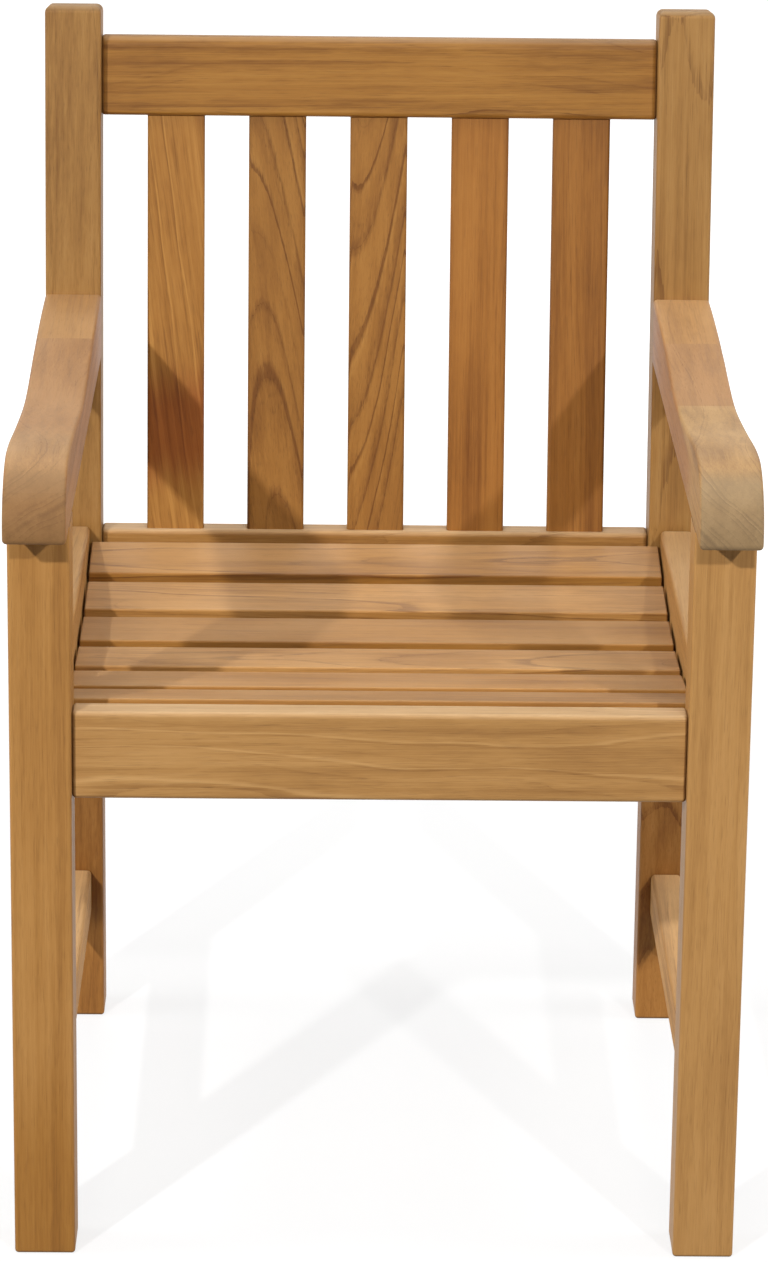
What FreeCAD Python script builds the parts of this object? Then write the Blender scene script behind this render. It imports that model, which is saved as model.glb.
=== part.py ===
import FreeCAD, Part
import math
import os

# Slatted garden armchair in teak, built with pegged mortise and tenon joints.
# Lengths are in millimetres and angles in degrees. X runs to the right as seen from the
# front, Y to the back and Z up. While the pieces are made, Y is zero at the front of the
# front legs; each is moved at the end so that the origin lies under the chair's middle.

# Legs and back posts
frame_width = 580.8
leg_width = 48.7
leg_depth = 48.5
post_width = 48.6
post_depth = 47.0
post_setback = 518.5
post_bend_height = 468.0
post_bend_radius = 60.0
post_rake = 6.6
post_height = 916.0
leg_arris = 3.0
post_top_arris = 6.0

# Rails of the seat frame
apron_top_height = 458.5
apron_height = 72.0
apron_thickness = 25.6
apron_setback = 7.9
side_rail_top_height = 463.5
side_rail_height = 72.0
side_rail_thickness = 28.2
rear_rail_top_height = 456.5
rear_rail_height = 66.8
rear_rail_thickness = 25.6
rear_rail_setback = 12.8
rail_arris = 4.0
rail_end_arris = 3.0

# Side stretchers
stretcher_top_height = 141.0
stretcher_height = 40.0
stretcher_thickness = 27.0

# Back
top_rail_underside_height = 820.2
top_rail_height = 69.2
top_rail_thickness = 25.0
top_rail_setback = 13.8
top_rail_top_arris = 9.0
back_slat_count = 5
back_slat_width = 50.0
back_slat_thickness = 12.6
back_slat_setback = 19.8
back_slat_arris = 3.0
back_slat_housing = 15.0
back_end_gap_share = 1.03

# Seat
seat_slat_count = 6
seat_slat_width = 62.5
seat_slat_thickness = 17.0
seat_slat_arris = 2.0
seat_slat_lower_arris = 2.0
seat_slat_end_arris = 1.5
seat_slat_end_gap = 2.0
seat_slat_leg_gap = 1.0
seat_low_height = 429.2
seat_front_tilt = 11.0
seat_rear_tilt = 9.8
bearer_thickness = 22.0
bearer_least_height = 22.0
bearer_tenon_height = 16.0
bearer_tenon_length = 10.0

# Arms
arm_width = 48.9
arm_outset = 0.2
arm_underside_height = 610.5
arm_nose_overhang = 51.0
arm_nose_shoulder_rise = 8.0
arm_nose_lower_radius = 5.0
arm_crest_setback = 11.0
arm_crest_rise = 59.2
arm_dip_setback = 250.0
arm_dip_rise = 39.2
arm_rear_rise = 56.5
arm_arris = 3.2
arm_front_block_length = 291.0
arm_rear_block_length = 136.0
arm_block_least = 0.6
arm_fall_shares = ((0.33, 0.33), (0.66, 0.75))
arm_rise_shares = ((0.35, 0.47), (0.68, 0.86))

# Joints and fasteners
tenon_thickness = 12.0
tenon_length = 20.0
tenon_shoulder = 8.0
tenon_corner_gap = 1.5
leg_tenon_width = 25.0
leg_tenon_height = 30.0
arm_tenon_height = 28.0
joint_gap = 0.2
mortise_end_gap = 1.0
peg_radius = 4.0
peg_gap = 0.15
peg_far_cover = 6.0
screw_shank_radius = 2.0
screw_head_radius = 4.0
screw_head_height = 3.0
screw_bite = 10.0
screw_cover = 20.0
screw_gap = 0.15
counterbore_gap = 0.8
arm_seat_gap = 0.05
bearer_screw_count = 3
bearer_screw_grip = 12.0
overrun = 5.0

# How nearly a unit direction has to point along an axis to count as parallel to it
parallel_share = 0.999999

# Places that follow from the sizes
leg_outer_x = frame_width / 2
leg_inner_x = leg_outer_x - leg_width
leg_middle_x = leg_outer_x - leg_width / 2
leg_middle_y = leg_depth / 2
post_inner_x = leg_outer_x - post_width
post_middle_x = leg_outer_x - post_width / 2
side_rail_inner_x = leg_middle_x - side_rail_thickness / 2
side_rail_outer_x = side_rail_inner_x + side_rail_thickness
apron_rear_y = apron_setback + apron_thickness
rear_rail_front_y = post_setback + rear_rail_setback
arm_outer_x = leg_outer_x + arm_outset
arm_inner_x = arm_outer_x - arm_width
arm_nose_shoulder_height = arm_underside_height + arm_nose_shoulder_rise
arm_crest_height = arm_underside_height + arm_crest_rise
arm_dip_height = arm_underside_height + arm_dip_rise
arm_rear_height = arm_underside_height + arm_rear_rise
arm_ceiling = arm_rear_height + arm_width
rake = math.radians(post_rake)
post_run = (post_height - post_bend_height) / math.cos(rake)


def vector(x, y, z):
    return FreeCAD.Vector(x, y, z)


def block(x0, x1, y0, y1, z0, z1):
    return Part.makeBox(x1 - x0, y1 - y0, z1 - z0, vector(x0, y0, z0))


def mirrored(shape):
    return shape.mirror(vector(0, 0, 0), vector(1, 0, 0))


def is_along(direction, axis):
    """Whether a unit direction runs along the axis, either way."""
    return abs(direction.dot(axis)) > parallel_share


def straight_edges(shape, axis, keep):
    """Edges of the shape that run along the axis and whose middle passes keep."""
    found = []
    for edge in shape.Edges:
        start = edge.Vertexes[0].Point
        end = edge.Vertexes[-1].Point
        along = end - start
        if along.Length > 0 and is_along(along.normalize(), axis):
            if keep((start + end) / 2):
                found.append(edge)
    return found


def end_edges(shape, axis):
    """Edges around the flat ends of a bar that runs along the axis."""
    ends = [face for face in shape.Faces if is_along(face.normalAt(0, 0), axis)]
    return [edge for face in ends for edge in face.Edges]


def extruded(edges, x0, x1):
    """A solid from a closed outline of edges in the plane X = x0, drawn out to x1."""
    face = Part.Face(Part.Wire(edges))
    return face.extrude(vector(x1 - x0, 0, 0))


def polygon_edges(points, x):
    """Edges of the closed outline through the (y, z) points."""
    corners = [vector(x, y, z) for y, z in points]
    return [
        Part.LineSegment(a, b).toShape()
        for a, b in zip(corners, corners[1:] + corners[:1])
    ]


def raked(shape):
    """Turns a piece made upright at the post's front face to the slope of the back."""
    turned = shape.copy()
    turned.rotate(vector(0, post_setback, post_bend_height), vector(1, 0, 0), -post_rake)
    return turned


def raked_point(behind, up):
    """(y, z) of a point behind the post's front face and up its slope from the bend."""
    y = post_setback + behind * math.cos(rake) + up * math.sin(rake)
    z = post_bend_height - behind * math.sin(rake) + up * math.cos(rake)
    return y, z


def run_to_height(behind, height):
    """How far up the slope a line behind the post's front face reaches a height."""
    return (height - post_bend_height + behind * math.sin(rake)) / math.cos(rake)


def post_front_y(height):
    """Y of the post's sloping front face at a height above the bend."""
    return post_setback + (height - post_bend_height) * math.tan(rake)


def eased_bar(x0, x1, y0, y1, z0, z1, axis, top_arris, arris, end_arris):
    """A bar along X or Y with its long edges rounded first and then its two ends."""
    bar = block(x0, x1, y0, y1, z0, z1)
    middle_z = (z0 + z1) / 2
    bar = bar.makeFillet(top_arris, straight_edges(bar, axis, lambda p: p.z > middle_z))
    bar = bar.makeFillet(arris, straight_edges(bar, axis, lambda p: p.z < middle_z))
    return bar.makeFillet(end_arris, end_edges(bar, axis))


def peg(start, direction, length):
    return Part.makeCylinder(peg_radius, length, start, direction)


def peg_hole(start, direction, length):
    """The hole of a peg, which runs out of the face that the peg enters by."""
    unit = direction.normalize()
    reach = length + overrun + mortise_end_gap
    return Part.makeCylinder(peg_radius + peg_gap, reach, start - unit * overrun, unit)


def cut_all(shape, tools):
    for tool in tools:
        shape = shape.cut(tool)
    return shape


def mortise(x0, x1, y0, y1, z0, z1):
    """The hollow for a tenon of the given size, wider by the joint gap all round."""
    g = joint_gap
    return block(x0 - g, x1 + g, y0 - g, y1 + g, z0 - g, z1 + g)


arm_rear_y = post_front_y((arm_underside_height + arm_rear_height) / 2)

# Pegs. Each is (start on the face it enters by, direction, length).
side_tenon_x_span = (leg_middle_x - tenon_thickness / 2, leg_middle_x + tenon_thickness / 2)
apron_middle_y = apron_setback + apron_thickness / 2
rear_rail_middle_y = rear_rail_front_y + rear_rail_thickness / 2
top_rail_middle = top_rail_setback + top_rail_thickness / 2
side_tenon_length = leg_depth - apron_middle_y - tenon_thickness / 2 - tenon_corner_gap
rear_side_tenon_length = rear_rail_middle_y - tenon_thickness / 2 - tenon_corner_gap - post_setback


def peg_heights(top, height):
    """Heights of the two pegs of a rail's tenon, a quarter of the tenon in."""
    tenon_height = height - 2 * tenon_shoulder
    low = top - height + tenon_shoulder
    return low + tenon_height / 4, low + tenon_height * 3 / 4


def apron_peg_list():
    """Pegs from the rear face of the right front leg into the apron's tenon."""
    x = leg_inner_x + tenon_length / 2
    length = leg_depth - apron_middle_y + tenon_thickness / 2 + peg_far_cover / 2
    heights = peg_heights(apron_top_height, apron_height)
    return [(vector(x, leg_depth, z), vector(0, -1, 0), length) for z in heights]


def rear_rail_peg_list():
    """Pegs from the rear face of the right back post into the rear rail's tenon."""
    x = post_inner_x + tenon_length / 2
    start_y = post_setback + post_depth
    length = start_y - rear_rail_middle_y + tenon_thickness / 2 + peg_far_cover / 2
    heights = peg_heights(rear_rail_top_height, rear_rail_height)
    return [(vector(x, start_y, z), vector(0, -1, 0), length) for z in heights]


def top_rail_peg_list():
    """Pegs from the rear face of the right back post, square to it, into the top rail."""
    x = post_inner_x + tenon_length / 2
    length = post_depth - top_rail_middle + tenon_thickness / 2 + peg_far_cover / 2
    low = run_to_height(top_rail_setback, top_rail_underside_height)
    direction = vector(0, -math.cos(rake), math.sin(rake))
    pegs = []
    for up in peg_heights(low + top_rail_height, top_rail_height):
        y, z = raked_point(post_depth, up)
        pegs.append((vector(x, y, z), direction, length))
    return pegs


def side_peg_list(y, heights, member_width):
    """Pegs from the outer side face of a right leg or post, short of the pegs that cross."""
    length = member_width - tenon_length / 2 - peg_radius - tenon_corner_gap
    return [(vector(leg_outer_x, y, z), vector(-1, 0, 0), length) for z in heights]


def side_rail_front_pegs():
    y = leg_depth - side_tenon_length / 2
    return side_peg_list(y, peg_heights(side_rail_top_height, side_rail_height), leg_width)


def side_rail_rear_pegs():
    y = post_setback + rear_side_tenon_length / 2
    return side_peg_list(y, peg_heights(side_rail_top_height, side_rail_height), post_width)


def stretcher_front_pegs():
    y = leg_depth - tenon_length / 2
    return side_peg_list(y, [stretcher_top_height - stretcher_height / 2], leg_width)


def stretcher_rear_pegs():
    y = post_setback + tenon_length / 2
    return side_peg_list(y, [stretcher_top_height - stretcher_height / 2], post_width)


def arm_front_pegs():
    """The peg through the arm's outer face into the tenon on the front leg."""
    z = arm_underside_height + leg_tenon_height / 2
    length = arm_outer_x - leg_middle_x + leg_tenon_width / 2 + peg_far_cover / 2
    return [(vector(arm_outer_x, leg_middle_y, z), vector(-1, 0, 0), length)]


def arm_tenon_span():
    """Heights of the tenon on the arm's rear end."""
    middle = (arm_underside_height + arm_rear_height) / 2
    return middle - arm_tenon_height / 2, middle + arm_tenon_height / 2


def arm_rear_pegs():
    """The peg through the back post's outer face into the arm's tenon."""
    low, high = arm_tenon_span()
    z = (low + high) / 2
    return side_peg_list(post_front_y(z) + tenon_length / 2, [z], post_width)


def holes(pegs):
    return [peg_hole(*one) for one in pegs]


def peg_group(pegs):
    right = [peg(*one) for one in pegs]
    return Part.makeCompound(right + [mirrored(one) for one in right])


# Tenons and the mortises that take them, on the right side of the chair
def tenon_x(x0, length, y_middle, top, height, grow=False):
    """A rail's tenon that enters the leg or post at x0 and runs outwards."""
    sizes = (
        y_middle - tenon_thickness / 2,
        y_middle + tenon_thickness / 2,
        top - height + tenon_shoulder,
        top - tenon_shoulder,
    )
    if grow:
        return mortise(x0 - overrun, x0 + length + mortise_end_gap, *sizes)
    return block(x0 - overrun, x0 + length, *sizes)


def tenon_y(y0, y1, top, height, grow=False):
    """A side rail's or stretcher's tenon between two distances from the front."""
    x0, x1 = side_tenon_x_span
    make = mortise if grow else block
    return make(x0, x1, y0, y1, top - height + tenon_shoulder, top - tenon_shoulder)


def arm_tenon(grow=False):
    low, high = arm_tenon_span()
    x0, x1 = side_tenon_x_span
    y1 = post_front_y((low + high) / 2) + tenon_length
    if grow:
        return mortise(x0, x1, post_setback - overrun, y1 + mortise_end_gap, low, high)
    return block(x0, x1, y1 - 2 * tenon_length, y1, low, high)


def leg_tenon(grow=False):
    """The square tenon on top of the front leg, or the mortise for it in the arm."""
    half = leg_tenon_width / 2
    top = arm_underside_height + leg_tenon_height
    low = arm_underside_height - overrun
    spans = (leg_middle_x - half, leg_middle_x + half, leg_middle_y - half, leg_middle_y + half)
    if grow:
        return mortise(*spans, low, top + mortise_end_gap)
    return block(*spans, low, top)


# Legs
def front_leg():
    leg_top = arm_underside_height - arm_seat_gap
    leg = block(leg_inner_x, leg_outer_x, 0, leg_depth, 0, leg_top)
    upright = straight_edges(leg, vector(0, 0, 1), lambda p: True)
    foot = straight_edges(leg, vector(1, 0, 0), lambda p: p.z == 0)
    foot += straight_edges(leg, vector(0, 1, 0), lambda p: p.z == 0)
    leg = leg.makeFillet(leg_arris, upright + foot)
    leg = leg.fuse(leg_tenon())
    mortises = [
        tenon_x(leg_inner_x, tenon_length, apron_middle_y, apron_top_height, apron_height, True),
        tenon_y(
            leg_depth - side_tenon_length - mortise_end_gap,
            leg_depth + overrun,
            side_rail_top_height,
            side_rail_height,
            True,
        ),
        tenon_y(
            leg_depth - tenon_length - mortise_end_gap,
            leg_depth + overrun,
            stretcher_top_height,
            stretcher_height,
            True,
        ),
    ]
    pegs = apron_peg_list() + side_rail_front_pegs() + stretcher_front_pegs() + arm_front_pegs()
    return cut_all(leg, mortises + holes(pegs))


def post_outline_points():
    front_top = raked_point(0, post_run)
    rear_top = raked_point(post_depth, post_run)
    rear_bend_height = post_bend_height - post_depth * math.tan(rake / 2)
    return [
        (post_setback, 0),
        (post_setback + post_depth, 0),
        (post_setback + post_depth, rear_bend_height),
        rear_top,
        front_top,
        (post_setback, post_bend_height),
    ]


def back_post():
    edges = polygon_edges(post_outline_points(), post_inner_x)
    post = extruded(edges, post_inner_x, leg_outer_x)
    across = vector(1, 0, 0)
    near_bend = straight_edges(
        post, across, lambda p: abs(p.z - post_bend_height) < post_depth
    )
    post = post.makeFillet(post_bend_radius, near_bend)
    top_face = max(post.Faces, key=lambda face: face.CenterOfMass.z)
    post = post.makeFillet(post_top_arris, top_face.Edges)
    lengthwise = []
    for edge in post.Edges:
        box = edge.BoundBox
        slim = post_width / 2 > box.XLength
        spans_up = box.ZLength > post_top_arris / 4
        if slim and spans_up:
            lengthwise.append(edge)
    foot = [edge for edge in post.Edges if edge.BoundBox.ZMax < leg_arris / 2]
    post = post.makeFillet(leg_arris, lengthwise + foot)
    low = run_to_height(top_rail_setback, top_rail_underside_height)
    top_tenon = tenon_x(
        post_inner_x,
        tenon_length,
        post_setback + top_rail_middle,
        post_bend_height + low + top_rail_height,
        top_rail_height,
        True,
    )
    mortises = [
        tenon_x(
            post_inner_x,
            tenon_length,
            rear_rail_middle_y,
            rear_rail_top_height,
            rear_rail_height,
            True,
        ),
        raked(top_tenon),
        tenon_y(
            post_setback - overrun,
            post_setback + rear_side_tenon_length + mortise_end_gap,
            side_rail_top_height,
            side_rail_height,
            True,
        ),
        tenon_y(
            post_setback - overrun,
            post_setback + tenon_length + mortise_end_gap,
            stretcher_top_height,
            stretcher_height,
            True,
        ),
        arm_tenon(True),
    ]
    pegs = rear_rail_peg_list() + top_rail_peg_list() + side_rail_rear_pegs()
    pegs += stretcher_rear_pegs() + arm_rear_pegs()
    return cut_all(post, mortises + holes(pegs))


# Rails and stretchers
def front_apron():
    apron = eased_bar(
        -leg_inner_x,
        leg_inner_x,
        apron_setback,
        apron_rear_y,
        apron_top_height - apron_height,
        apron_top_height,
        vector(1, 0, 0),
        rail_arris,
        rail_arris,
        rail_end_arris,
    )
    tenon = tenon_x(leg_inner_x, tenon_length, apron_middle_y, apron_top_height, apron_height)
    apron = apron.fuse([tenon, mirrored(tenon)])
    pegs = holes(apron_peg_list())
    return cut_all(apron, pegs + [mirrored(one) for one in pegs] + [bearer_mortise_front()])


def rear_rail():
    rail = eased_bar(
        -post_inner_x,
        post_inner_x,
        rear_rail_front_y,
        rear_rail_front_y + rear_rail_thickness,
        rear_rail_top_height - rear_rail_height,
        rear_rail_top_height,
        vector(1, 0, 0),
        rail_arris,
        rail_arris,
        rail_end_arris,
    )
    tenon = tenon_x(
        post_inner_x, tenon_length, rear_rail_middle_y, rear_rail_top_height, rear_rail_height
    )
    rail = rail.fuse([tenon, mirrored(tenon)])
    pegs = holes(rear_rail_peg_list())
    hollows = [bearer_mortise_rear()] + [back_slat_hollow(x) for x in back_slat_places()]
    return cut_all(rail, pegs + [mirrored(one) for one in pegs] + hollows)


def side_bar(top, height, thickness, front_tenon, rear_tenon):
    """A rail or stretcher from the front leg to the back post, with its two tenons."""
    x0 = leg_middle_x - thickness / 2
    bar = eased_bar(
        x0,
        x0 + thickness,
        leg_depth,
        post_setback,
        top - height,
        top,
        vector(0, 1, 0),
        rail_arris,
        rail_arris,
        rail_end_arris,
    )
    tenons = [
        tenon_y(leg_depth - front_tenon, leg_depth + overrun, top, height),
        tenon_y(post_setback - overrun, post_setback + rear_tenon, top, height),
    ]
    return bar.fuse(tenons)


def side_rail():
    rail = side_bar(
        side_rail_top_height,
        side_rail_height,
        side_rail_thickness,
        side_tenon_length,
        rear_side_tenon_length,
    )
    pegs = holes(side_rail_front_pegs() + side_rail_rear_pegs())
    bites = [screw_hole(*place) for place in bearer_screw_places()]
    return cut_all(rail, pegs + bites)


def side_stretcher():
    bar = side_bar(
        stretcher_top_height, stretcher_height, stretcher_thickness, tenon_length, tenon_length
    )
    return cut_all(bar, holes(stretcher_front_pegs() + stretcher_rear_pegs()))


def top_rail():
    low = post_bend_height + run_to_height(top_rail_setback, top_rail_underside_height)
    front = post_setback + top_rail_setback
    rail = eased_bar(
        -post_inner_x,
        post_inner_x,
        front,
        front + top_rail_thickness,
        low,
        low + top_rail_height,
        vector(1, 0, 0),
        top_rail_top_arris,
        rail_arris,
        rail_end_arris,
    )
    tenon = tenon_x(
        post_inner_x,
        tenon_length,
        post_setback + top_rail_middle,
        low + top_rail_height,
        top_rail_height,
    )
    rail = raked(rail.fuse([tenon, mirrored(tenon)]))
    pegs = holes(top_rail_peg_list())
    hollows = [back_slat_hollow(x) for x in back_slat_places()]
    return cut_all(rail, pegs + [mirrored(one) for one in pegs] + hollows)


# Back slats
def back_slat_places():
    """Middles of the slats across the back, with a slightly wider gap at either end."""
    free = 2 * post_inner_x - back_slat_count * back_slat_width
    gap = free / (back_slat_count - 1 + 2 * back_end_gap_share)
    step = back_slat_width + gap
    return [(index - (back_slat_count - 1) / 2) * step for index in range(back_slat_count)]


def back_slat_bar(x, gap, end_gap):
    """The upright bar of a slat, larger by the gap all round and by end_gap at its ends."""
    middle = back_slat_setback + back_slat_thickness / 2
    low = run_to_height(middle, rear_rail_top_height) - back_slat_housing - end_gap
    high = run_to_height(top_rail_setback, top_rail_underside_height) + back_slat_housing + end_gap
    front = post_setback + back_slat_setback
    half = back_slat_width / 2 + gap
    bar = block(
        x - half,
        x + half,
        front - gap,
        front + back_slat_thickness + gap,
        post_bend_height + low,
        post_bend_height + high,
    )
    upright = straight_edges(bar, vector(0, 0, 1), lambda p: True)
    return raked(bar.makeFillet(back_slat_arris + gap, upright))


def back_slat(x):
    return back_slat_bar(x, 0, 0)


def back_slat_hollow(x):
    return back_slat_bar(x, joint_gap, mortise_end_gap)


# Seat slats, on bearers whose tops are cut in flats to a hollow curve
front_tilt = math.radians(seat_front_tilt)
rear_tilt = math.radians(seat_rear_tilt)


def seat_slat_places():
    """(y, z, tilt) of the middle of each slat's top, from the front slat to the rear one."""
    half = seat_slat_width / 2
    first_y = leg_depth + seat_slat_leg_gap
    first_y += half * math.cos(front_tilt) + seat_slat_thickness * math.sin(front_tilt)
    last_y = post_setback - seat_slat_leg_gap
    last_y -= half * math.cos(rear_tilt) + seat_slat_thickness * math.sin(rear_tilt)
    radius = (last_y - first_y) / (math.sin(front_tilt) + math.sin(rear_tilt))
    low_y = first_y + radius * math.sin(front_tilt)
    places = []
    for index in range(seat_slat_count):
        tilt = (front_tilt + rear_tilt) * index / (seat_slat_count - 1) - front_tilt
        y = low_y + radius * math.sin(tilt)
        z = seat_low_height + radius * (1 - math.cos(tilt))
        places.append((y, z, tilt))
    return places


def on_slat(place, along, up):
    """(y, z) of a point along and above the middle of a slat's top."""
    y, z, tilt = place
    return (
        y + along * math.cos(tilt) - up * math.sin(tilt),
        z + along * math.sin(tilt) + up * math.cos(tilt),
    )


def bearer_middles():
    """Middles of the three bearers across the seat."""
    side = side_rail_inner_x - bearer_thickness / 2
    return [-side, 0, side]


def seat_slat(place):
    half_length = side_rail_inner_x - seat_slat_end_gap
    half = seat_slat_width / 2
    across = vector(1, 0, 0)
    slat = block(-half_length, half_length, -half, half, -seat_slat_thickness, 0)
    middle_z = -seat_slat_thickness / 2
    upper = straight_edges(slat, across, lambda p: p.z > middle_z)
    slat = slat.makeFillet(seat_slat_arris, upper)
    lower = straight_edges(slat, across, lambda p: p.z < middle_z)
    slat = slat.makeFillet(seat_slat_lower_arris, lower)
    slat = slat.makeFillet(seat_slat_end_arris, end_edges(slat, across))
    for x in bearer_middles():
        start = vector(x, 0, -seat_slat_thickness - overrun)
        depth = overrun + screw_bite + screw_gap
        slat = slat.cut(Part.makeCylinder(screw_shank_radius + screw_gap, depth, start))
    y, z, tilt = place
    slat.rotate(vector(0, 0, 0), across, math.degrees(tilt))
    slat.translate(vector(0, y, z))
    return slat


def bearer_top_points():
    """(y, z) along the tops of the bearers: one flat under each slat."""
    half = seat_slat_width / 2
    points = []
    for place in seat_slat_places():
        points.append(on_slat(place, -half, -seat_slat_thickness))
        points.append(on_slat(place, half, -seat_slat_thickness))
    return points


bearer_low_height = seat_low_height - seat_slat_thickness - bearer_least_height


def bearer_tallest():
    """Height of the highest point of the bearers' tops."""
    return max(z for y, z in bearer_top_points())


def bearer_bar(x):
    """A bearer about x, as long as the row of slats, without its screw holes."""
    tops = bearer_top_points()
    outline = [(tops[0][0], bearer_low_height), (tops[-1][0], bearer_low_height)]
    outline += list(reversed(tops))
    half = bearer_thickness / 2
    return extruded(polygon_edges(outline, x - half), x - half, x + half)


def slat_screw_places(x):
    """(start at the slat's underside less the cover, direction) of a bearer's screws."""
    places = []
    for place in seat_slat_places():
        y, z = on_slat(place, 0, -seat_slat_thickness - screw_cover)
        tilt = place[2]
        places.append((vector(x, y, z), vector(0, -math.sin(tilt), math.cos(tilt))))
    return places


def screw(start, direction, length):
    """A countersunk screw whose head begins at start."""
    head = Part.makeCone(
        screw_head_radius, screw_shank_radius, screw_head_height, start, direction
    )
    return head.fuse(Part.makeCylinder(screw_shank_radius, length, start, direction))


def screw_hole(start, direction, length):
    """Room for a screw, with a counterbore from the face that it is driven in by."""
    unit = direction.normalize()
    reach = bearer_tallest() - bearer_low_height + bearer_thickness
    shank = Part.makeCylinder(screw_shank_radius + screw_gap, length + screw_gap, start, unit)
    seat = Part.makeCone(
        screw_head_radius + screw_gap,
        screw_shank_radius + screw_gap,
        screw_head_height,
        start,
        unit,
    )
    bore = Part.makeCylinder(screw_head_radius + counterbore_gap, reach, start, unit * -1)
    return shank.fuse([seat, bore])


def bearer_screw_places():
    """(start, direction, length) of the screws that hold the right bearer to its rail."""
    start_x = side_rail_inner_x - screw_cover / 2
    height = bearer_low_height + bearer_least_height / 2
    length = screw_cover / 2 + bearer_screw_grip
    run = post_setback - leg_depth
    places = []
    for index in range(bearer_screw_count):
        y = leg_depth + run * (index + 0.5) / bearer_screw_count
        places.append((vector(start_x, y, height), vector(1, 0, 0), length))
    return places


def bearer_tenon_block(y0, y1):
    """A stub tenon of the middle bearer between two distances from the front."""
    low = bearer_low_height + (bearer_least_height - bearer_tenon_height) / 2
    half = tenon_thickness / 2
    return (-half, half, y0, y1, low, low + bearer_tenon_height)


def bearer_mortise_front():
    y0 = apron_rear_y - bearer_tenon_length - mortise_end_gap
    return mortise(*bearer_tenon_block(y0, apron_rear_y + overrun))


def bearer_mortise_rear():
    y1 = rear_rail_front_y + bearer_tenon_length + mortise_end_gap
    return mortise(*bearer_tenon_block(rear_rail_front_y - overrun, y1))


def slat_screw_length():
    return screw_cover + screw_bite


def middle_bearer():
    """The bearer that runs on past the slats to the apron and the rear rail."""
    tops = bearer_top_points()
    half = bearer_thickness / 2
    front_end = block(-half, half, apron_rear_y, tops[0][0], bearer_low_height, tops[0][1])
    rear_end = block(-half, half, tops[-1][0], rear_rail_front_y, bearer_low_height, tops[-1][1])
    tenons = [
        bearer_tenon_block(apron_rear_y - bearer_tenon_length, apron_rear_y + overrun),
        bearer_tenon_block(rear_rail_front_y - overrun, rear_rail_front_y + bearer_tenon_length),
    ]
    bearer = bearer_bar(0).fuse([front_end, rear_end] + [block(*spans) for spans in tenons])
    length = slat_screw_length()
    holes_below = [screw_hole(*place, length) for place in slat_screw_places(0)]
    return cut_all(bearer.removeSplitter(), holes_below)


def side_bearer():
    x = bearer_middles()[-1]
    bearer = bearer_bar(x)
    length = slat_screw_length()
    screws = [screw_hole(*place, length) for place in slat_screw_places(x)]
    screws += [screw_hole(*place) for place in bearer_screw_places()]
    return cut_all(bearer, screws)


def slat_screws():
    length = slat_screw_length()
    screws = []
    for x in bearer_middles():
        screws += [screw(*place, length) for place in slat_screw_places(x)]
    return Part.makeCompound(screws)


def bearer_screws():
    right = [screw(*place) for place in bearer_screw_places()]
    return Part.makeCompound(right + [mirrored(one) for one in right])


# Arms
def between(start, end, along, up):
    """The (y, z) point at shares of the way back and of the way up from start to end."""
    y = start[0] + along * (end[0] - start[0])
    z = start[1] + up * (end[1] - start[1])
    return y, z


def arm_top(x):
    """The curve along the arm's top from the crest through the hollow to the post."""
    crest = (arm_crest_setback, arm_crest_height)
    dip = (arm_dip_setback, arm_dip_height)
    rear = (post_front_y(arm_rear_height), arm_rear_height)
    points = [crest]
    points += [between(crest, dip, *shares) for shares in arm_fall_shares]
    points.append(dip)
    points += [between(dip, rear, *shares) for shares in arm_rise_shares]
    points.append(rear)
    curve = Part.BSplineCurve()
    curve.interpolate(
        Points=[vector(x, y, z) for y, z in points],
        InitialTangent=vector(0, 1, 0),
        FinalTangent=vector(0, 1, 0),
    )
    return curve.toShape()


def arm_nose(x):
    """A quarter of an ellipse that falls from the crest to the arm's plumb front."""
    front = vector(x, -arm_nose_overhang, arm_nose_shoulder_height)
    crest = vector(x, arm_crest_setback, arm_crest_height)
    centre = vector(x, arm_crest_setback, arm_nose_shoulder_height)
    return Part.Arc(Part.Ellipse(front, crest, centre), 0, math.pi / 2).toShape()


def arm_outline(x):
    """The closed side outline of an arm in the plane X."""
    front_y = -arm_nose_overhang
    low = arm_underside_height
    radius = arm_nose_lower_radius
    on_front = vector(x, front_y, low + radius)
    on_underside = vector(x, front_y + radius, low)
    near = radius * (1 - math.sqrt(0.5))
    in_round = vector(x, front_y + near, low + near)
    shoulder = vector(x, front_y, arm_nose_shoulder_height)
    rear_bottom = vector(x, post_front_y(low), low)
    rear_top = vector(x, post_front_y(arm_rear_height), arm_rear_height)
    edges = [
        arm_top(x),
        Part.LineSegment(rear_top, rear_bottom).toShape(),
        Part.LineSegment(rear_bottom, on_underside).toShape(),
        Part.Arc(on_underside, in_round, on_front).toShape(),
        Part.LineSegment(on_front, shoulder).toShape(),
        arm_nose(x),
    ]
    return Part.__sortEdges__(edges)


def behind_post_front():
    """The space behind the post's sloping front face, wide enough for an arm."""
    space = block(
        arm_inner_x - overrun,
        arm_outer_x + overrun,
        post_setback,
        post_setback + post_depth,
        post_bend_height,
        post_height,
    )
    return raked(space)


def whole_arm():
    """The arm in one piece, before it is parted along its glue lines."""
    arm = extruded(arm_outline(arm_inner_x), arm_inner_x, arm_outer_x)
    on_sides = []
    for edge in arm.Edges:
        box = edge.BoundBox
        flat = box.XLength < arm_arris / 10
        rear_end = box.YMin > post_front_y(arm_underside_height) - arm_arris / 10
        if flat and not rear_end:
            on_sides.append(edge)
    arm = arm.makeFillet(arm_arris, on_sides)
    arm = arm.cut(behind_post_front())
    arm = arm.fuse(arm_tenon())
    arm = arm.cut(leg_tenon(True))
    return cut_all(arm, holes(arm_front_pegs() + arm_rear_pegs()))


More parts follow.
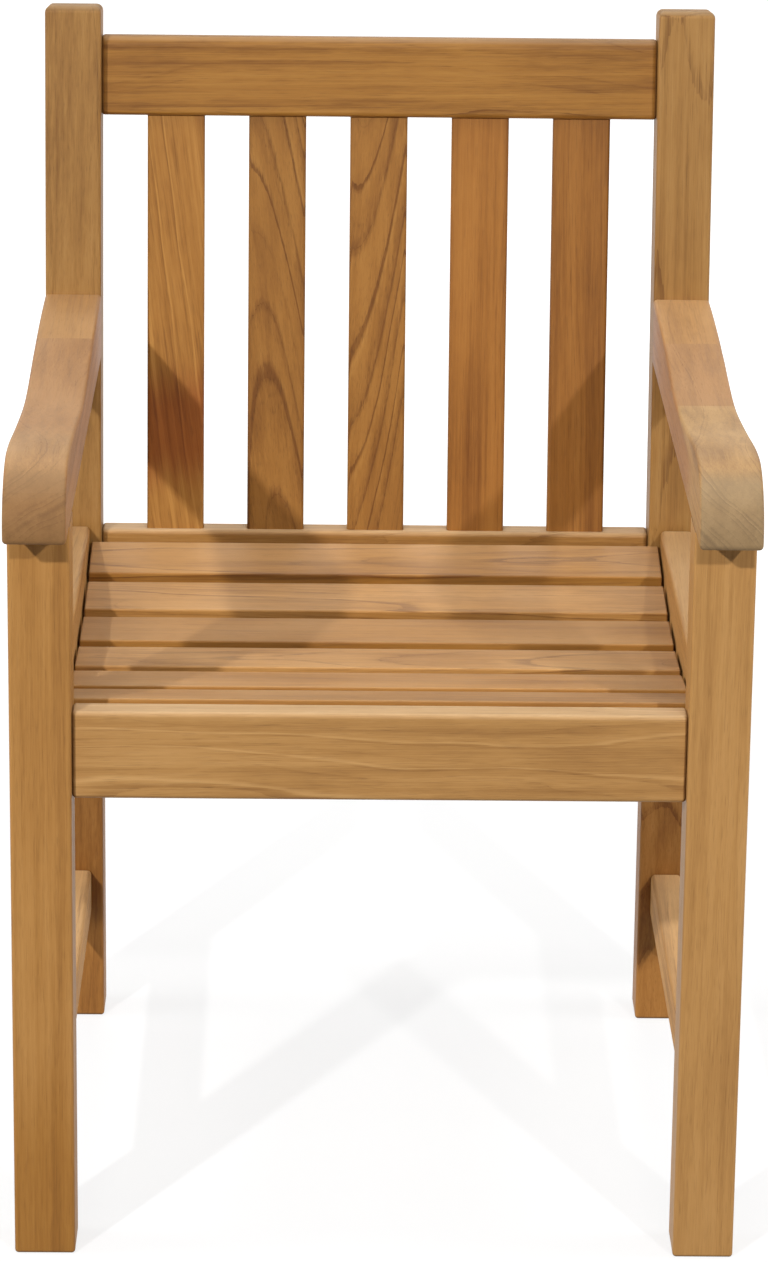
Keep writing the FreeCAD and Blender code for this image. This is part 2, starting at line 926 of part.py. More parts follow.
def top_height(y):
    """Height of the arm's top at a distance from the front, behind the crest."""
    plumb = Part.LineSegment(vector(0, y, arm_underside_height), vector(0, y, arm_ceiling))
    return arm_top(0).distToShape(plumb.toShape())[1][0][0].z


def block_space(setback, far):
    """The space of a glued-on block from its thin end to beyond the arm's end.

    Its floor is the glue line, which runs parallel to the arm's underside.
    """
    glue_line = top_height(setback) - arm_block_least
    outline = [
        (setback, glue_line),
        (far, glue_line),
        (far, arm_ceiling),
        (setback, arm_ceiling),
    ]
    x0 = arm_inner_x - arm_width
    x1 = arm_outer_x + arm_width
    return extruded(polygon_edges(outline, x0), x0, x1)


def arm_pieces():
    """The arm's board, its rear block and its front block."""
    arm = whole_arm()
    front_end = arm_front_block_length - arm_nose_overhang
    front = block_space(front_end, -arm_nose_overhang - overrun)
    rear = block_space(arm_rear_y - arm_rear_block_length, rear_reach())
    return {
        "arm_board": arm.cut(front).cut(rear),
        "arm_rear_block": arm.common(rear),
        "arm_front_block": arm.common(front),
    }


# The whole chair
def rear_reach():
    """Y of the rearmost point, on the rounded rear edge of the posts' tops."""
    behind = post_depth - post_top_arris
    up = post_run - post_top_arris
    return raked_point(behind, up)[0] + post_top_arris


def all_pieces():
    pieces = {
        "front_apron": front_apron(),
        "rear_rail": rear_rail(),
        "top_rail": top_rail(),
        "seat_bearer_middle": middle_bearer(),
        "slat_screws": slat_screws(),
        "bearer_screws": bearer_screws(),
        "apron_pegs": peg_group(apron_peg_list()),
        "rear_rail_pegs": peg_group(rear_rail_peg_list()),
        "top_rail_pegs": peg_group(top_rail_peg_list()),
        "side_rail_pegs": peg_group(side_rail_front_pegs() + side_rail_rear_pegs()),
        "stretcher_pegs": peg_group(stretcher_front_pegs() + stretcher_rear_pegs()),
        "arm_pegs": peg_group(arm_front_pegs() + arm_rear_pegs()),
    }
    for number, x in enumerate(back_slat_places(), start=1):
        pieces[f"back_slat_{number}"] = back_slat(x)
    for number, place in enumerate(seat_slat_places(), start=1):
        pieces[f"seat_slat_{number}"] = seat_slat(place)
    handed = {
        "front_leg": front_leg(),
        "back_post": back_post(),
        "side_rail": side_rail(),
        "side_stretcher": side_stretcher(),
        "seat_bearer": side_bearer(),
    }
    handed.update(arm_pieces())
    for name, shape in handed.items():
        pieces[f"{name}_right"] = shape
        pieces[f"{name}_left"] = mirrored(shape)
    return pieces


os.makedirs("parts", exist_ok=True)
middle_y = (rear_reach() - arm_nose_overhang) / 2
for name, shape in all_pieces().items():
    placed = shape.copy()
    placed.translate(vector(0, -middle_y, 0))
    placed.exportStep(f"parts/{name}.step")
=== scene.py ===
# Looks, camera and light for a slatted teak garden armchair. Every shape comes from the
# CAD. Each piece gets a board of its own, sawn from its own log of teak, and the chair
# stands on a pale floor in a plain white studio.
import math
import bpy
from mathutils import Matrix, Vector


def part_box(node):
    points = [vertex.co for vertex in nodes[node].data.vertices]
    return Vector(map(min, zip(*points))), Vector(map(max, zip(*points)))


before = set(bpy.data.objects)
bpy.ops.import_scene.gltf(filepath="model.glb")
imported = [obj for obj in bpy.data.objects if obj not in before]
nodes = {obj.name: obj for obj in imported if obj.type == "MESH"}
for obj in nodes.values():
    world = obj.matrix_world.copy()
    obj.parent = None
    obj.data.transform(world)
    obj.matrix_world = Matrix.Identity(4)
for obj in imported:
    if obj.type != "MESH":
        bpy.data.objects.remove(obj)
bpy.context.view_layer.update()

# Wood tones, sRGB
TAN = (0.598, 0.406, 0.172)
GOLD = (0.643, 0.454, 0.228)
AMBER = (0.566, 0.384, 0.150)
OLIVE = (0.580, 0.418, 0.210)
BROWN = (0.590, 0.383, 0.152)
STRAW = (0.681, 0.503, 0.285)
PINK = (0.630, 0.435, 0.240)
# painted sheen: the pale colour mixed into faces that look up
PAINTED_SHEEN = (0.800, 0.705, 0.575)
# partly the first back slat's own redder wood, partly painted shadow where an arm's shadow
# falls
RUSSET_AND_SHADOW = (0.520, 0.290, 0.100)
# painted light for the back posts below the seat
FILL_HONEY = (0.640, 0.430, 0.200)
# painted shade for the top rail's upper edge
SHADE_UMBER = (0.500, 0.335, 0.135)
# painted highlight for the upper edge of the apron and the rear rail
HIGHLIGHT_CREAM = (0.760, 0.610, 0.420)
SAND = (0.636, 0.460, 0.262)
WHEAT = (0.682, 0.522, 0.315)
PORE = (0.27, 0.15, 0.06)
END_GRAIN = (0.49, 0.365, 0.22)
ASH_GRAIN = (0.52, 0.445, 0.335)

# Brass, sRGB: clean and stained
BRASS = (0.80, 0.64, 0.33)
STAINED_BRASS = (0.45, 0.34, 0.19)

# What dark and light streaks do to the red, green and blue of a tone
AS_IT_IS = (1.0, 1.0, 1.0)
DEEP = (0.54, 0.45, 0.36)
FAIR = (1.30, 1.42, 1.70)

MM_PER_M = 1000

# Noise in the wood: scale per mm across the grain and along it, detail, roughness
NOISE = {
    "wide": (0.011, 0.0026, 2.0, 0.5),
    "close": (0.05, 0.007, 2.0, 0.55),
    "ragged": (0.5, 0.02, 1.0, 0.5),
    "fibre": (1.05, 0.014, 3.0, 0.6),
    "thread": (0.36, 0.0042, 3.0, 0.6),
    "band": (0.085, 0.0016, 2.0, 0.5),
    "cloud": (0.016, 0.006, 2.0, 0.5),
    "fleck": (0.22, 0.045, 2.0, 0.6),
    "pores": (1.9, 0.055, 1.0, 0.4),
}

# The next log starts so many mm further along the noise
LOG_SPACING = 613.0

# Growth rings: wide and close noise shift them by these shares of the waver, and ragged
# noise by a share of a ring; their width varies at this pace, by up to so many years
WIDE_SHARE, CLOSE_SHARE, RAGGED_SHARE = 4, 0.4, 0.10
PACE_PER_YEAR, PACE_SHIFT = 0.37, 2.6

# Within one year, from its start to its end: late wood and the bright line after it
LATE_WOOD = (
    (0.0, 0.85), (0.06, 0.70), (0.15, 0.20), (0.40, 0.03), (0.80, 0.20), (0.97, 0.42),
    (1.0, 0.85),
)
BRIGHT_LINE = ((0.0, 0.0), (0.12, 0.0), (0.22, 1.0), (0.42, 0.0), (1.0, 0.0))

# Strong years are rare; late wood and bright lines grow with a year's strength, and both
# show more on end grain than along the board
YEAR_POWER = 2.2
LATE_LEAST, LATE_GROWTH = 0.22, 1.6
END_LATE, END_SHINE, BOARD_SHINE = 2.2, 1.8, 0.6

# From long grain to end grain, by how squarely the surface cuts the grain
END_RAMP = ((0.0, 0.0), (0.24, 0.0), (0.58, 1.0), (1.0, 1.0))
END_DULLING, END_SHARE = 0.75, 0.9

# Streaks: the share of each noise, and how strongly they darken or lighten
STREAK_SHARES = (
    ("fibre", 0.60), ("thread", 0.75), ("band", 1.15), ("cloud", 0.85), ("fleck", 0.35)
)
STREAK_DEPTH = 1.5

# Pores: where their noise starts and stops to count, and how much of them shows
PORE_RAMP = ((0.0, 0.0), (0.58, 0.0), (0.72, 1.0), (1.0, 1.0))
PORES_EARLY, PORES_LATE, PORE_DEPTH = 0.4, 0.9, 0.42

# Faces that look up, by the height of their normal, get a painted sheen: a paler colour that
# stands in for the glossy light on them
UPWARD_FROM, UPWARD_TO = 0.5, 0.95
SHEEN_LEAST, SHEEN_CLOUD = 0.08, 0.24

# Satin oil finish
ROUGHNESS = 0.40
ROUGHER_THREAD, ROUGHER_PORES, ROUGHER_UPWARD, ROUGHER_END = 0.16, 0.20, 0.12, 0.20
RELIEF_FIBRE, RELIEF_THREAD, RELIEF_PORES, RELIEF_LATE = 0.5, 0.8, -0.9, 0.4
RELIEF_STRENGTH, RELIEF_HEIGHT = 0.6, 0.00022
OILED_IOR = 1.34


def linear(rgb, gain=1.0, tint=AS_IT_IS):
    """An sRGB colour as the linear values that a shader takes."""
    out = []
    for c, k in zip(rgb, tint):
        c = c / 12.92 if c <= 0.04045 else ((c + 0.055) / 1.055) ** 2.4
        out.append(c * gain * k)
    return (*out, 1.0)


class Tree:
    """Adds shader nodes to a material or a world. Where a value is asked for, it may be a
    number, a tuple or the output of another node."""

    def __init__(self, owner):
        owner.use_nodes = True
        self.tree = owner.node_tree
        self.tree.nodes.clear()

    def put(self, socket, value):
        if isinstance(value, bpy.types.NodeSocket):
            self.tree.links.new(value, socket)
        elif value is not None:
            socket.default_value = value

    def add(self, kind, inputs=None, **settings):
        node = self.tree.nodes.new("ShaderNode" + kind)
        for name, value in settings.items():
            setattr(node, name, value)
        for name, value in (inputs or {}).items():
            self.put(node.inputs[name], value)
        return node

    def math(self, operation, a, b=None, c=None, clamp=False):
        node = self.add("Math", operation=operation, use_clamp=clamp)
        for socket, value in zip(node.inputs, (a, b, c)):
            self.put(socket, value)
        return node.outputs[0]

    def vector(self, operation, a, b=None):
        node = self.add("VectorMath", operation=operation)
        self.put(node.inputs[0], a)
        self.put(node.inputs[1], b)
        return node.outputs["Value" if operation in ("LENGTH", "DOT_PRODUCT") else "Vector"]

    def part(self, vector, axis):
        """The X, Y or Z of a vector."""
        return self.add("SeparateXYZ", {0: vector}).outputs[axis]

    def noise(self, where, stretch, detail, rough):
        """Noise of about 0 to 1 in a space stretched by three scales."""
        node = self.add(
            "TexNoise",
            {
                "Vector": self.vector("MULTIPLY", where, stretch),
                "Scale": 1.0,
                "Detail": detail,
                "Roughness": rough,
            },
        )
        return node.outputs["Fac"]

    def ramp(self, value, stops, smooth=True):
        """Grey levels at given places from 0 to 1, and what lies between them."""
        node = self.add("ValToRGB", {"Fac": value})
        ramp = node.color_ramp
        ramp.interpolation = "EASE" if smooth else "LINEAR"
        while len(ramp.elements) < len(stops):
            ramp.elements.new(0.5)
        for element, (place, level) in zip(ramp.elements, stops):
            element.position = place
            element.color = (level, level, level, 1)
        return node.outputs["Color"]

    def between(self, value, start, end, first, last, smooth=False):
        """Goes from first to last while the value goes from start to end."""
        return self.add(
            "MapRange",
            {0: value, 1: start, 2: end, 3: first, 4: last},
            interpolation_type="SMOOTHSTEP" if smooth else "LINEAR",
        ).outputs[0]

    def mix(self, factor, a, b):
        node = self.add("Mix", data_type="RGBA")
        self.put(node.inputs[0], factor)
        self.put(node.inputs[6], a)
        self.put(node.inputs[7], b)
        return node.outputs[2]

    def end_with(self, shader, kind="OutputMaterial"):
        self.put(self.add(kind).inputs["Surface"], shader.outputs[0])


RAKE = math.radians(6.6)
X, Y, Z = Vector((1, 0, 0)), Vector((0, 1, 0)), Vector((0, 0, 1))
UP_BACK = Vector((0, math.sin(RAKE), math.cos(RAKE)))
UP_POST = Vector((0, math.sin(RAKE / 2), math.cos(RAKE / 2)))

# For each kind of piece: along the grain, across it, and through the piece
AXES = {
    "leg": (Z, X, Y),
    "post": (UP_POST, X, Y),
    "back": (UP_BACK, X, Y),
    "rail": (X, Z, Y),
    "seat": (X, Y, Z),
    "side": (Y, Z, X),
    "arm": (Y, X, Z),
    "peg": (Y, X, Z),
}


def log_matrix(kind, lean):
    """Rows: across the piece, through it, and along the grain, leant a little."""
    along, across, through = AXES[kind]
    along = (along + across * lean[0] + through * lean[1]).normalized()
    across = (across - along * across.dot(along)).normalized()
    return Matrix((across, along.cross(across), along))


def place_in_log(t, place, turn, kind, centre, pith, seed):
    """Where a point lies in its log, in mm: two places from the heart, one along it."""
    through = 1 if turn[1].dot(AXES[kind][2]) > 0 else -1
    turned = turn @ (centre * MM_PER_M)
    offset = Vector((
        -turned[0] - pith[0],
        -turned[1] - pith[1] * through,
        -turned[2] + seed * LOG_SPACING,
    ))
    return t.add(
        "Mapping",
        {
            "Vector": place,
            "Location": offset,
            "Rotation": turn.to_euler("XYZ"),
            "Scale": (MM_PER_M, MM_PER_M, MM_PER_M),
        },
        vector_type="POINT",
    ).outputs["Vector"]


def wood_noise(t, where, name):
    across, along, detail, rough = NOISE[name]
    return t.noise(where, (across, across, along), detail, rough)


def growth_rings(t, where, end, ring, figure, waver, glint):
    """Late wood and bright lines round the heart, wavering and of uneven width."""
    r = t.vector("LENGTH", t.vector("MULTIPLY", where, (1, 1, 0)))
    r = t.math("MULTIPLY_ADD", wood_noise(t, where, "wide"), WIDE_SHARE * waver, r)
    r = t.math("MULTIPLY_ADD", wood_noise(t, where, "close"), CLOSE_SHARE * waver, r)
    r = t.math("MULTIPLY_ADD", wood_noise(t, where, "ragged"), RAGGED_SHARE * ring, r)
    years = t.math("DIVIDE", r, ring)
    pace = t.add(
        "TexNoise",
        {"W": t.math("MULTIPLY", years, PACE_PER_YEAR), "Scale": 1.0, "Detail": 1.0},
        noise_dimensions="1D",
    )
    years = t.math("MULTIPLY_ADD", pace.outputs["Fac"], PACE_SHIFT, years)
    year = t.math("FLOOR", years)
    within = t.math("SUBTRACT", years, year)
    luck = t.add("TexWhiteNoise", {"W": year}, noise_dimensions="1D").outputs["Value"]
    strong = t.math("POWER", luck, YEAR_POWER)

    late = t.ramp(within, LATE_WOOD)
    late = t.math("MULTIPLY", late, t.math("MULTIPLY_ADD", strong, LATE_GROWTH, LATE_LEAST))
    late = t.math("MULTIPLY", late, t.math("MULTIPLY_ADD", end, END_LATE * figure, figure))
    shine = t.math("MULTIPLY_ADD", end, END_SHINE * figure, BOARD_SHINE * figure * glint)
    bright = t.ramp(within, BRIGHT_LINE)
    bright = t.math("MULTIPLY", bright, t.math("MULTIPLY", strong, shine))
    return late, bright


def patched(t, tones, place, band, patch, gain):
    """The plain, deep and fair tones with another tone's in one stretch of the piece."""
    other, axis, middle, half, soft = patch
    away = t.math("SUBTRACT", t.part(place, axis), middle)
    away = t.math("MULTIPLY_ADD", band, soft, t.math("ABSOLUTE", away))
    share = t.between(away, half, half + soft, 1.0, 0.0, smooth=True)
    return [
        t.mix(share, tone, linear(other, gain, tint))
        for tone, tint in zip(tones, (AS_IT_IS, DEEP, FAIR))
    ]


def teak(name, kind, centre, tone, gain, seed, pith, lean=(0.0, 0.03), ring=6.0,
         figure=0.5, waver=7.0, glint=1.0, streak=1.0, finish=0.0, patch=None,
         end_tone=END_GRAIN):
    """Teak cut from a log: pith gives the log's heart in mm across and behind the piece,
    lean how much the heart slants to it, ring the width of a year in mm, figure and glint
    how much late wood and bright lines show, waver how far the rings stray, in mm. A
    patch is a stretch of another tone: the tone, the axis, its middle, half its length
    and how softly it ends, in m. On some pieces a patch is painted light or shade."""
    material = bpy.data.materials.new("teak_" + name)
    t = Tree(material)
    turn = log_matrix(kind, lean)
    place = t.add("TexCoord").outputs["Object"]
    where = place_in_log(t, place, turn, kind, centre, pith, seed)
    normal = t.add("NewGeometry").outputs["Normal"]
    end = t.math("ABSOLUTE", t.vector("DOT_PRODUCT", normal, tuple(turn[2])))
    end = t.ramp(end, END_RAMP)
    late, bright = growth_rings(t, where, end, ring, figure, waver, glint)

    # fibres, streaks, clouds and pores
    grain = {pattern: wood_noise(t, where, pattern) for pattern, _ in STREAK_SHARES}
    pores = t.ramp(wood_noise(t, where, "pores"), PORE_RAMP, smooth=False)
    shown = t.math("MULTIPLY_ADD", late, PORES_LATE, PORES_EARLY)
    pores = t.math("MULTIPLY", pores, shown, clamp=True)
    streaks = -0.5 * streak * sum(share for _, share in STREAK_SHARES)
    for pattern, share in STREAK_SHARES:
        streaks = t.math("MULTIPLY_ADD", grain[pattern], share * streak, streaks)
    dark = t.math("MULTIPLY_ADD", streaks, -STREAK_DEPTH, late, clamp=True)
    fair = t.math("MULTIPLY_ADD", streaks, STREAK_DEPTH, bright, clamp=True)

    tones = [linear(tone, gain, tint) for tint in (AS_IT_IS, DEEP, FAIR)]
    if patch:
        tones = patched(t, tones, place, grain["band"], patch, gain)
    colour = t.mix(dark, tones[0], tones[1])
    colour = t.mix(fair, colour, tones[2])
    colour = t.mix(t.math("MULTIPLY", pores, PORE_DEPTH), colour, linear(PORE, gain))

    # end grain is duller than long grain, and faces that look up get a painted sheen
    dull = t.mix(END_DULLING, colour, linear(end_tone, gain))
    colour = t.mix(t.math("MULTIPLY", end, END_SHARE), colour, dull)
    upward = t.between(t.part(normal, "Z"), UPWARD_FROM, UPWARD_TO, 0.0, 1.0)
    sheen_share = t.math("MULTIPLY_ADD", grain["cloud"], SHEEN_CLOUD, SHEEN_LEAST)
    colour = t.mix(t.math("MULTIPLY", upward, sheen_share), colour, linear(PAINTED_SHEEN, gain))

    rough = t.math("MULTIPLY_ADD", grain["thread"], ROUGHER_THREAD, ROUGHNESS + finish)
    rough = t.math("MULTIPLY_ADD", pores, ROUGHER_PORES, rough)
    rough = t.math("MULTIPLY_ADD", upward, ROUGHER_UPWARD, rough)
    rough = t.math("MULTIPLY_ADD", end, ROUGHER_END, rough, clamp=True)
    relief = t.math("MULTIPLY", grain["thread"], RELIEF_THREAD)
    relief = t.math("MULTIPLY_ADD", grain["fibre"], RELIEF_FIBRE, relief)
    relief = t.math("MULTIPLY_ADD", pores, RELIEF_PORES, relief)
    relief = t.math("MULTIPLY_ADD", late, RELIEF_LATE, relief)
    bump = t.add(
        "Bump", {"Height": relief, "Strength": RELIEF_STRENGTH, "Distance": RELIEF_HEIGHT}
    )
    t.end_with(t.add(
        "BsdfPrincipled",
        {
            "Base Color": colour,
            "Roughness": rough,
            "Normal": bump.outputs["Normal"],
            "IOR": OILED_IOR,
        },
    ))
    return material


def brass():
    """Brass of the screws, stained in blots of a few mm."""
    material = bpy.data.materials.new("brass_screws")
    t = Tree(material)
    stain = t.noise(t.add("TexCoord").outputs["Object"], (420, 420, 420), 4.0, 0.6)
    bump = t.add("Bump", {"Height": stain, "Strength": 0.3, "Distance": 0.0001})
    t.end_with(t.add(
        "BsdfPrincipled",
        {
            "Base Color": t.mix(stain, linear(BRASS), linear(STAINED_BRASS)),
            "Roughness": t.math("MULTIPLY_ADD", stain, 0.3, 0.25),
            "Metallic": 1.0,
            "Normal": bump.outputs["Normal"],
        },
    ))
    return material


def cut(kind, tone, gain, pith, **grain):
    """How a piece was cut; what isn't given is as in plain straight grain."""
    return kind, tone, gain, dict(pith=pith, **grain)


LEFT_ARM = dict(lean=(0.010, 0.020), ring=5.5, figure=0.46)
RIGHT_ARM = dict(lean=(-0.012, 0.020), ring=5.0, figure=0.60, end_tone=ASH_GRAIN)
LEFT_ARM_PITH, RIGHT_ARM_PITH = (75, -130), (-120, -100)
# painted light: the back posts, in the seat's shade, get a warmer, lighter tone below about
# 0.4 m
LOW_POST_FILL = (FILL_HONEY, "Z", 0.0, 0.38, 0.08)
PEG = dict(ring=3.0)
CUTS = {
    # legs and posts
    "front_leg_left": cut(
        "leg", GOLD, 1.00, (95, 60), lean=(0.004, 0.01), ring=4.5, figure=0.36,
        streak=0.8, patch=(TAN, "Z", 0.0, 0.14, 0.14),
    ),
    "front_leg_right": cut(
        "leg", STRAW, 1.02, (-70, 85), lean=(0.012, 0.012), ring=5.0, figure=0.28,
        streak=0.6,
    ),
    "back_post_left": cut(
        "post", OLIVE, 0.97, (120, 45), lean=(0.010, 0.0), ring=6.0, figure=0.38,
        patch=LOW_POST_FILL,
    ),
    "back_post_right": cut(
        "post", OLIVE, 1.00, (4, 74), lean=(0.0, 0.060), ring=8.0, figure=0.60,
        patch=LOW_POST_FILL,
    ),
    # rails and stretchers; the apron and the rear rail have a painted highlight patch along
    # their upper edge
    "front_apron": cut(
        "rail", STRAW, 0.95, (-60, 70), lean=(0.012, 0.010), ring=8.0, figure=0.30,
        waver=12, glint=4.6, streak=0.8, patch=(HIGHLIGHT_CREAM, "Z", 0.4585, 0.002, 0.007),
    ),
    "rear_rail": cut(
        "rail", GOLD, 0.98, (30, 90), ring=7.0, figure=0.4,
        patch=(HIGHLIGHT_CREAM, "Z", 0.4565, 0.002, 0.007),
    ),
    # the top rail's upper edge is darkened by a painted shade patch
    "top_rail": cut(
        "rail", AMBER, 1.02, (-52, 70), lean=(0.010, 0.010), ring=6.0, figure=0.95,
        waver=9, glint=1.8, streak=1.2, patch=(SHADE_UMBER, "Z", 0.888, 0.004, 0.008),
    ),
    "side_rail_left": cut("side", STRAW, 1.00, (60, 70), ring=6.0, figure=0.34),
    "side_rail_right": cut("side", STRAW, 1.00, (-40, -80), ring=6.0, figure=0.34),
    # painted light: the stretchers, low in the shade under the seat, get a higher gain
    "side_stretcher_left": cut(
        "side", STRAW, 1.30, (50, 60), ring=5.5, figure=0.4, finish=0.2
    ),
    "side_stretcher_right": cut(
        "side", STRAW, 1.30, (60, -50), ring=5.5, figure=0.4, finish=0.2
    ),
    # back slats
    # the first back slat has a darker, redder stretch: partly its own redder wood, partly
    # painted shadow deepening the left arm's cast shadow
    "back_slat_1": cut(
        "back", TAN, 1.02, (-80, 60), lean=(-0.13, 0.01), ring=7.5, figure=0.40,
        glint=6.0, streak=1.5, patch=(RUSSET_AND_SHADOW, "Z", 0.545, 0.045, 0.05),
    ),
    "back_slat_2": cut(
        "back", TAN, 0.90, (-13, 42), lean=(-0.10, 0.078), ring=5.5, figure=1.5,
        waver=2.4, glint=0.7, streak=0.6,
    ),
    "back_slat_3": cut(
        "back", TAN, 0.98, (-24, 51.6), lean=(0.06, -0.075), ring=4.7, figure=1.5,
        waver=2.4, glint=0.7, streak=0.6,
    ),
    "back_slat_4": cut(
        "back", BROWN, 1.02, (110, 30), lean=(0.006, 0.0), ring=4.5, figure=0.46
    ),
    "back_slat_5": cut(
        "back", BROWN, 0.90, (-95, 45), lean=(-0.008, 0.012), ring=5.0, figure=0.48
    ),
    # seat slats and the bearers under them
    "seat_slat_1": cut("seat", TAN, 1.00, (20, -70), ring=6.0, figure=0.40, waver=10),
    "seat_slat_2": cut("seat", TAN, 1.08, (50, -60), ring=5.0, figure=0.38),
    "seat_slat_3": cut(
        "seat", GOLD, 1.02, (-10, -50), lean=(0.0, 0.030), ring=5.0, figure=0.80, waver=6
    ),
    "seat_slat_4": cut("seat", TAN, 1.00, (80, -50), ring=5.0, figure=0.38),
    "seat_slat_5": cut(
        "seat", GOLD, 1.03, (-12, -46), lean=(0.01, -0.03), ring=5.0, figure=0.80, waver=7
    ),
    "seat_slat_6": cut(
        "seat", TAN, 1.08, (6, -40), lean=(0.01, 0.028), ring=5.0, figure=0.85, waver=6
    ),
    "seat_bearer_left": cut("side", BROWN, 0.92, (70, 40), figure=0.4, finish=0.12),
    "seat_bearer_middle": cut("side", BROWN, 0.92, (60, 50), figure=0.4, finish=0.12),
    "seat_bearer_right": cut("side", BROWN, 0.92, (50, -60), figure=0.4, finish=0.12),
    # arms; the right front block's tone goes on for a while in its board
    "arm_board_left": cut("arm", PINK, 0.87, LEFT_ARM_PITH, **LEFT_ARM),
    "arm_front_block_left": cut(
        "arm", PINK, 0.87, LEFT_ARM_PITH, patch=(SAND, "Z", 0.672, 0.010, 0.012), **LEFT_ARM
    ),
    "arm_rear_block_left": cut("arm", TAN, 0.98, (60, -30), ring=5.0, figure=0.34),
    "arm_board_right": cut(
        "arm", PINK, 0.91, RIGHT_ARM_PITH, patch=(WHEAT, "Y", -0.40, 0.20, 0.08), **RIGHT_ARM
    ),
    "arm_front_block_right": cut("arm", WHEAT, 0.91, RIGHT_ARM_PITH, **RIGHT_ARM),
    "arm_rear_block_right": cut("arm", GOLD, 1.05, (-50, -40), ring=5.0, figure=0.34),
    # pegs from the front or the back, and from the sides
    "apron_pegs": cut("peg", BROWN, 0.85, (9, 6), **PEG),
    "rear_rail_pegs": cut("peg", BROWN, 0.85, (9, 6), **PEG),
    "top_rail_pegs": cut("peg", BROWN, 0.85, (9, 6), **PEG),
    "side_rail_pegs": cut("rail", BROWN, 0.85, (9, 6), **PEG),
    "stretcher_pegs": cut("rail", BROWN, 0.85, (9, 6), **PEG),
    "arm_pegs": cut("rail", BROWN, 0.85, (9, 6), **PEG),
}

# The front block of an arm follows the grain of the board that it is glued to
GRAIN_OF = {
    "arm_front_block_left": "arm_board_left",
    "arm_front_block_right": "arm_board_right",
}

# Nodes that aren't cut from wood are the screws
screws = brass()
names = sorted(nodes)
for name in names:
    if name in CUTS:
        kind, tone, gain, grain = CUTS[name]
        log = GRAIN_OF.get(name, name)
        low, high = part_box(log)
        seed = names.index(log) + 1
        material = teak(name, kind, (low + high) / 2, tone, gain, seed, **grain)
    else:
        material = screws
    for slot in nodes[name].material_slots:
        slot.material = material

# Camera, from the photograph's perspective; lengths in m, focal length and image in pixels
YAW, PITCH, ROLL = math.radians(0.74), math.radians(17.23), math.radians(0.68)
FOCAL_PX = 4871.1
IMAGE_HEIGHT = 1262
SENSOR_MM = 36.0
CAMERA_X = -0.04463
CAMERA_AHEAD_OF_LEGS = 3.61547
CAMERA_HEIGHT = 1.65065
forward = Vector((
    math.sin(YAW) * math.cos(PITCH),
    math.cos(YAW) * math.cos(PITCH),
    -math.sin(PITCH),
))
level_right = Vector((math.cos(YAW), -math.sin(YAW), 0))
level_up = level_right.cross(forward)
right = level_right * math.cos(ROLL) + level_up * math.sin(ROLL)
up = level_up * math.cos(ROLL) - level_right * math.sin(ROLL)
optics = bpy.data.cameras.new("camera")
optics.sensor_width = SENSOR_MM
optics.lens = FOCAL_PX * SENSOR_MM / IMAGE_HEIGHT
optics.clip_start, optics.clip_end = 0.05, 200.0
camera = bpy.data.objects.new("camera", optics)
bpy.context.scene.collection.objects.link(camera)
camera_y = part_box("front_leg_left")[0].y - CAMERA_AHEAD_OF_LEGS
camera.matrix_world = Matrix.Translation((CAMERA_X, camera_y, CAMERA_HEIGHT)) @ Matrix(
    (right, up, -forward)
).transposed().to_4x4()
bpy.context.scene.camera = camera

# Lamps: direction from the chair, distance and diameter in m, power in W, and whether
# they show in glossy surfaces. The small keys throw the arms' crossed shadows.
LAMPS = {
    "key_left": ((-0.56, -1.0, 0.58), 5.0, 0.14, 153, True),
    "key_right": ((0.46, -1.0, 0.53), 5.0, 0.14, 96, True),
    "overhead": ((0.0, 0.0, 1.0), 3.6, 3.0, 78, True),
    "side_left": ((-1.0, 0.0, 0.35), 4.5, 2.4, 90, True),
    "side_right": ((1.0, 0.0, 0.35), 4.5, 2.4, 90, True),
    "behind": ((0.0, 1.0, 0.6), 5.0, 2.6, 70, False),
}
LAMP_AIM = Vector((0, 0, 0.45))
for name, (towards, distance, diameter, power, glossy) in LAMPS.items():
    light = bpy.data.lights.new(name, "AREA")
    light.shape = "DISK"
    light.size = diameter
    light.energy = power
    lamp = bpy.data.objects.new(name, light)
    bpy.context.scene.collection.objects.link(lamp)
    direction = Vector(towards).normalized()
    lamp.location = LAMP_AIM + direction * distance
    lamp.rotation_mode = "QUATERNION"
    lamp.rotation_quaternion = (-direction).to_track_quat("-Z", "Y")
    lamp.visible_glossy = glossy

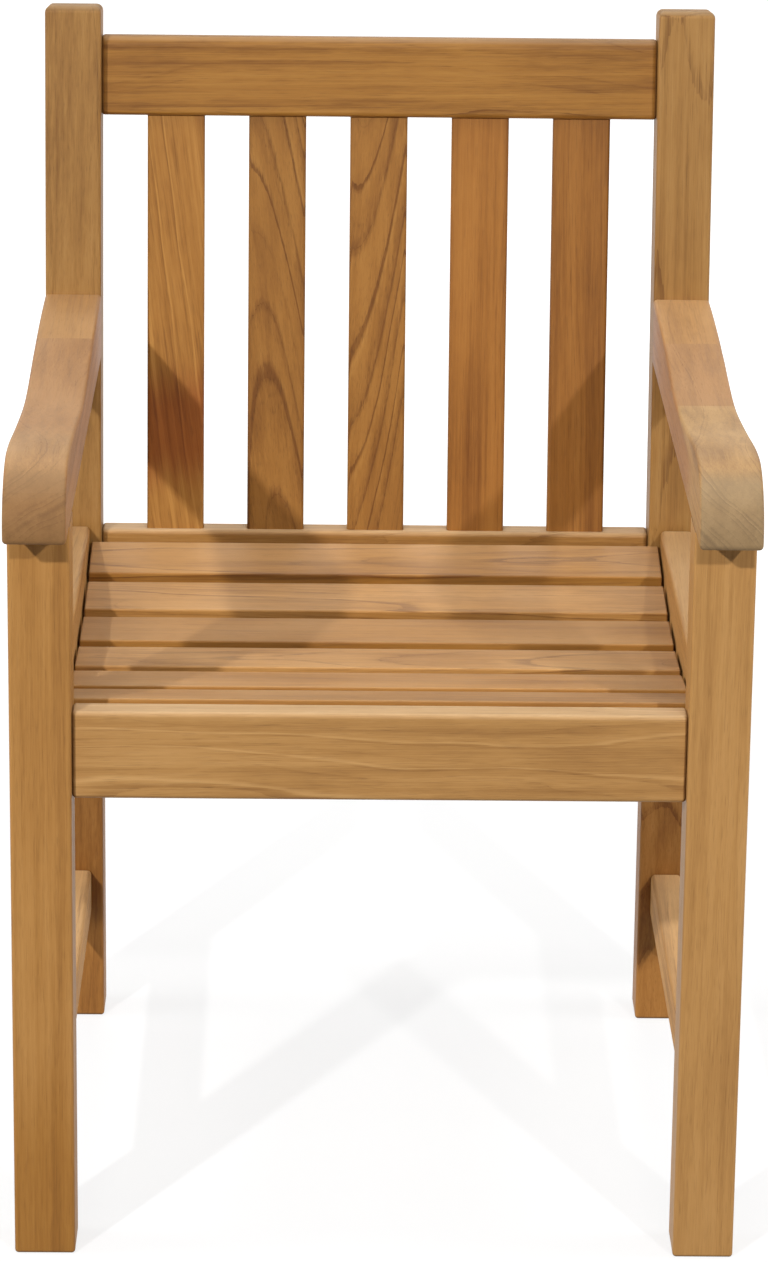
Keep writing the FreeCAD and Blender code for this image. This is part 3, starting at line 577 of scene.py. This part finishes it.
# Surroundings: white to the camera; in glossy surfaces white behind the chair and dim in
# front of it; a faint dome of light for everything else
WHITE = (1, 1, 1, 1)
DOME_LIGHT = 0.08
DIM = 0.12
FLOOR_SIZE = 40
FLOOR_GREY = 0.26
SHADOW_REACH = 2.5


def whiteness(t, path, mirrored, depth, dim_until, white_from):
    backdrop = t.between(depth, dim_until, white_from, DIM, 1.0)
    mirrored = t.math("MULTIPLY", mirrored, backdrop)
    return t.math("MAXIMUM", mirrored, path.outputs["Is Camera Ray"])


world = bpy.data.worlds.new("world")
bpy.context.scene.world = world
t = Tree(world)
path = t.add("LightPath")
mirrored = t.math(
    "MAXIMUM", path.outputs["Is Glossy Ray"], path.outputs["Is Transmission Ray"]
)
depth = t.part(t.add("TexCoord").outputs["Generated"], "Y")
seen = whiteness(t, path, mirrored, depth, -0.25, 0.15)
dome = t.add("Background", {"Color": WHITE, "Strength": DOME_LIGHT})
white = t.add("Background", {"Color": WHITE, "Strength": 1.0})
t.end_with(
    t.add("MixShader", {0: seen, 1: dome.outputs[0], 2: white.outputs[0]}), "OutputWorld"
)

# The floor shows white. Near the chair its glow leaves out what its grey gives back under
# the lamps, so that the chair's soft shadow shows there.
bpy.ops.mesh.primitive_plane_add(size=FLOOR_SIZE, location=(0, 0, 0))
floor = bpy.context.object
floor.name = "floor"
material = bpy.data.materials.new("floor")
t = Tree(material)
where = t.add("TexCoord").outputs["Object"]
away = t.math("DIVIDE", t.vector("LENGTH", where), SHADOW_REACH)
near = t.ramp(away, ((0.0, 1.0), (0.35, 1.0), (0.95, 0.0), (1.0, 0.0)))
path = t.add("LightPath")
seen = whiteness(t, path, path.outputs["Is Glossy Ray"], t.part(where, "Y"), -1.2, -0.3)
lift = t.math("MULTIPLY_ADD", near, -FLOOR_GREY, 1.0)
matt = t.add("BsdfDiffuse", {"Color": (FLOOR_GREY, FLOOR_GREY, FLOOR_GREY, 1)})
glow = t.add("Emission", {"Color": WHITE, "Strength": t.math("MULTIPLY", lift, seen)})
t.end_with(t.add("AddShader", {0: matt.outputs[0], 1: glow.outputs[0]}))
floor.data.materials.append(material)

bpy.context.scene.view_settings.view_transform = "Standard"
